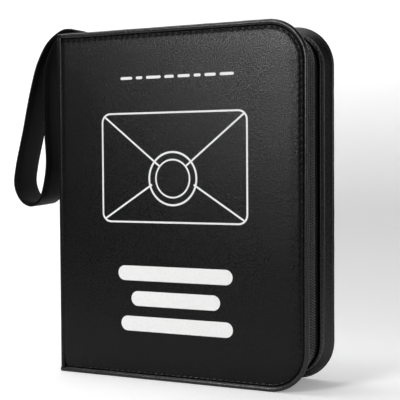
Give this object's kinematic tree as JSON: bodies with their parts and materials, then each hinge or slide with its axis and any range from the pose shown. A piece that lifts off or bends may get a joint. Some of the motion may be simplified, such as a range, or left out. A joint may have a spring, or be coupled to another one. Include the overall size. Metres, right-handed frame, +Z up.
{
  "type": "cash envelope wallet",
  "caption": "Black zip-around cash envelope wallet with padded covers, a wrist strap on the spine, and a ring binder holding a stack of envelopes.",
  "frame": {"origin": "middle of the bottom of the box round the closed wallet and its strap, on the surface it stands on", "axes": "+Z up along the spine, the front cover faces -Y, the spine and strap are on the -X side"},
  "size_m": [0.232, 0.05, 0.2401],
  "materials": {
    "cover_leather": "black faux leather, fine grain, padded",
    "trim_leather": "black faux leather, smooth",
    "strap_leather": "black faux leather band, fine grain",
    "zipper_tape": "black woven tape",
    "zipper_coil": "black nylon coil",
    "zipper_metal": "dark gunmetal",
    "ring_metal": "nickel-plated steel",
    "envelope_paper": "brown card envelopes"
  },
  "bodies": {
    "back": {"back_cover": "cover_leather", "back_piping": "trim_leather", "back_gusset": "trim_leather", "back_zipper_tape": "zipper_tape", "back_zipper_coil": "zipper_coil"},
    "spine": {"spine": "cover_leather", "wrist_strap": "strap_leather", "ring_plate": "ring_metal", "rivet_bottom": "ring_metal", "rivet_top": "ring_metal", "envelope_stack": "envelope_paper", "zipper_end_tape_top": "zipper_tape", "zipper_end_coil_top_front": "zipper_coil", "zipper_end_coil_top_back": "zipper_coil", "zipper_stop_top": "zipper_metal", "zipper_end_tape_bottom": "zipper_tape", "zipper_end_coil_bottom_front": "zipper_coil", "zipper_end_coil_bottom_back": "zipper_coil", "zipper_stop_bottom": "zipper_metal"},
    "front": {"front_cover": "cover_leather", "front_piping": "trim_leather", "front_gusset": "trim_leather", "front_zipper_tape": "zipper_tape", "front_zipper_coil": "zipper_coil"},
    "slider": {"slider": "zipper_metal"},
    "pull_tab": {"pull_tab": "zipper_metal"},
    "rings_front": {"leaf_front": "ring_metal", "ring_front_1": "ring_metal", "ring_front_2": "ring_metal", "ring_front_3": "ring_metal", "ring_front_4": "ring_metal", "ring_front_5": "ring_metal", "ring_front_6": "ring_metal"},
    "rings_back": {"leaf_back": "ring_metal", "ring_back_1": "ring_metal", "ring_back_2": "ring_metal", "ring_back_3": "ring_metal", "ring_back_4": "ring_metal", "ring_back_5": "ring_metal", "ring_back_6": "ring_metal"},
    "lever_top": {"lever_top": "ring_metal"},
    "lever_bottom": {"lever_bottom": "ring_metal"}
  },
  "joints": [
    {"name": "back_fold", "type": "hinge", "parent": "back", "child": "spine", "pos_m": [-0.06645, 0.0225, 0.1175], "axis": [0, 0, -1], "range_deg": [0, 90]},
    {"name": "front_fold", "type": "hinge", "parent": "spine", "child": "front", "pos_m": [-0.06645, -0.0225, 0.1175], "axis": [0, 0, -1], "range_deg": [0, 90]},
    {"name": "slider_travel", "type": "slide", "parent": "spine", "child": "slider", "axis": [1, 0, 0], "range_m": [0, 0.13]},
    {"name": "pull_tab_swing", "type": "hinge", "parent": "slider", "child": "pull_tab", "pos_m": [-0.05165, 0, 0.23245], "axis": [0, -1, 0], "range_deg": [0, 130]},
    {"name": "rings_front_open", "type": "hinge", "parent": "spine", "child": "rings_front", "pos_m": [-0.06235, 0, 0.1175], "axis": [0, 0, -1], "range_deg": [0, 11.5]},
    {"name": "rings_back_open", "type": "hinge", "parent": "spine", "child": "rings_back", "pos_m": [-0.06235, 0, 0.1175], "axis": [0, 0, 1], "range_deg": [0, 11.5]},
    {"name": "lever_top_press", "type": "hinge", "parent": "spine", "child": "lever_top", "pos_m": [-0.06235, 0, 0.2073], "axis": [0, -1, 0], "range_deg": [0, 23]},
    {"name": "lever_bottom_press", "type": "hinge", "parent": "spine", "child": "lever_bottom", "pos_m": [-0.06235, 0, 0.0277], "axis": [0, 1, 0], "range_deg": [0, 23]}
  ],
  "couplings": [
    {"joint": "rings_back_open", "follows": "rings_front_open", "ratio": 1},
    {"joint": "lever_top_press", "follows": "rings_front_open", "ratio": 2},
    {"joint": "lever_bottom_press", "follows": "rings_front_open", "ratio": 2}
  ]
}
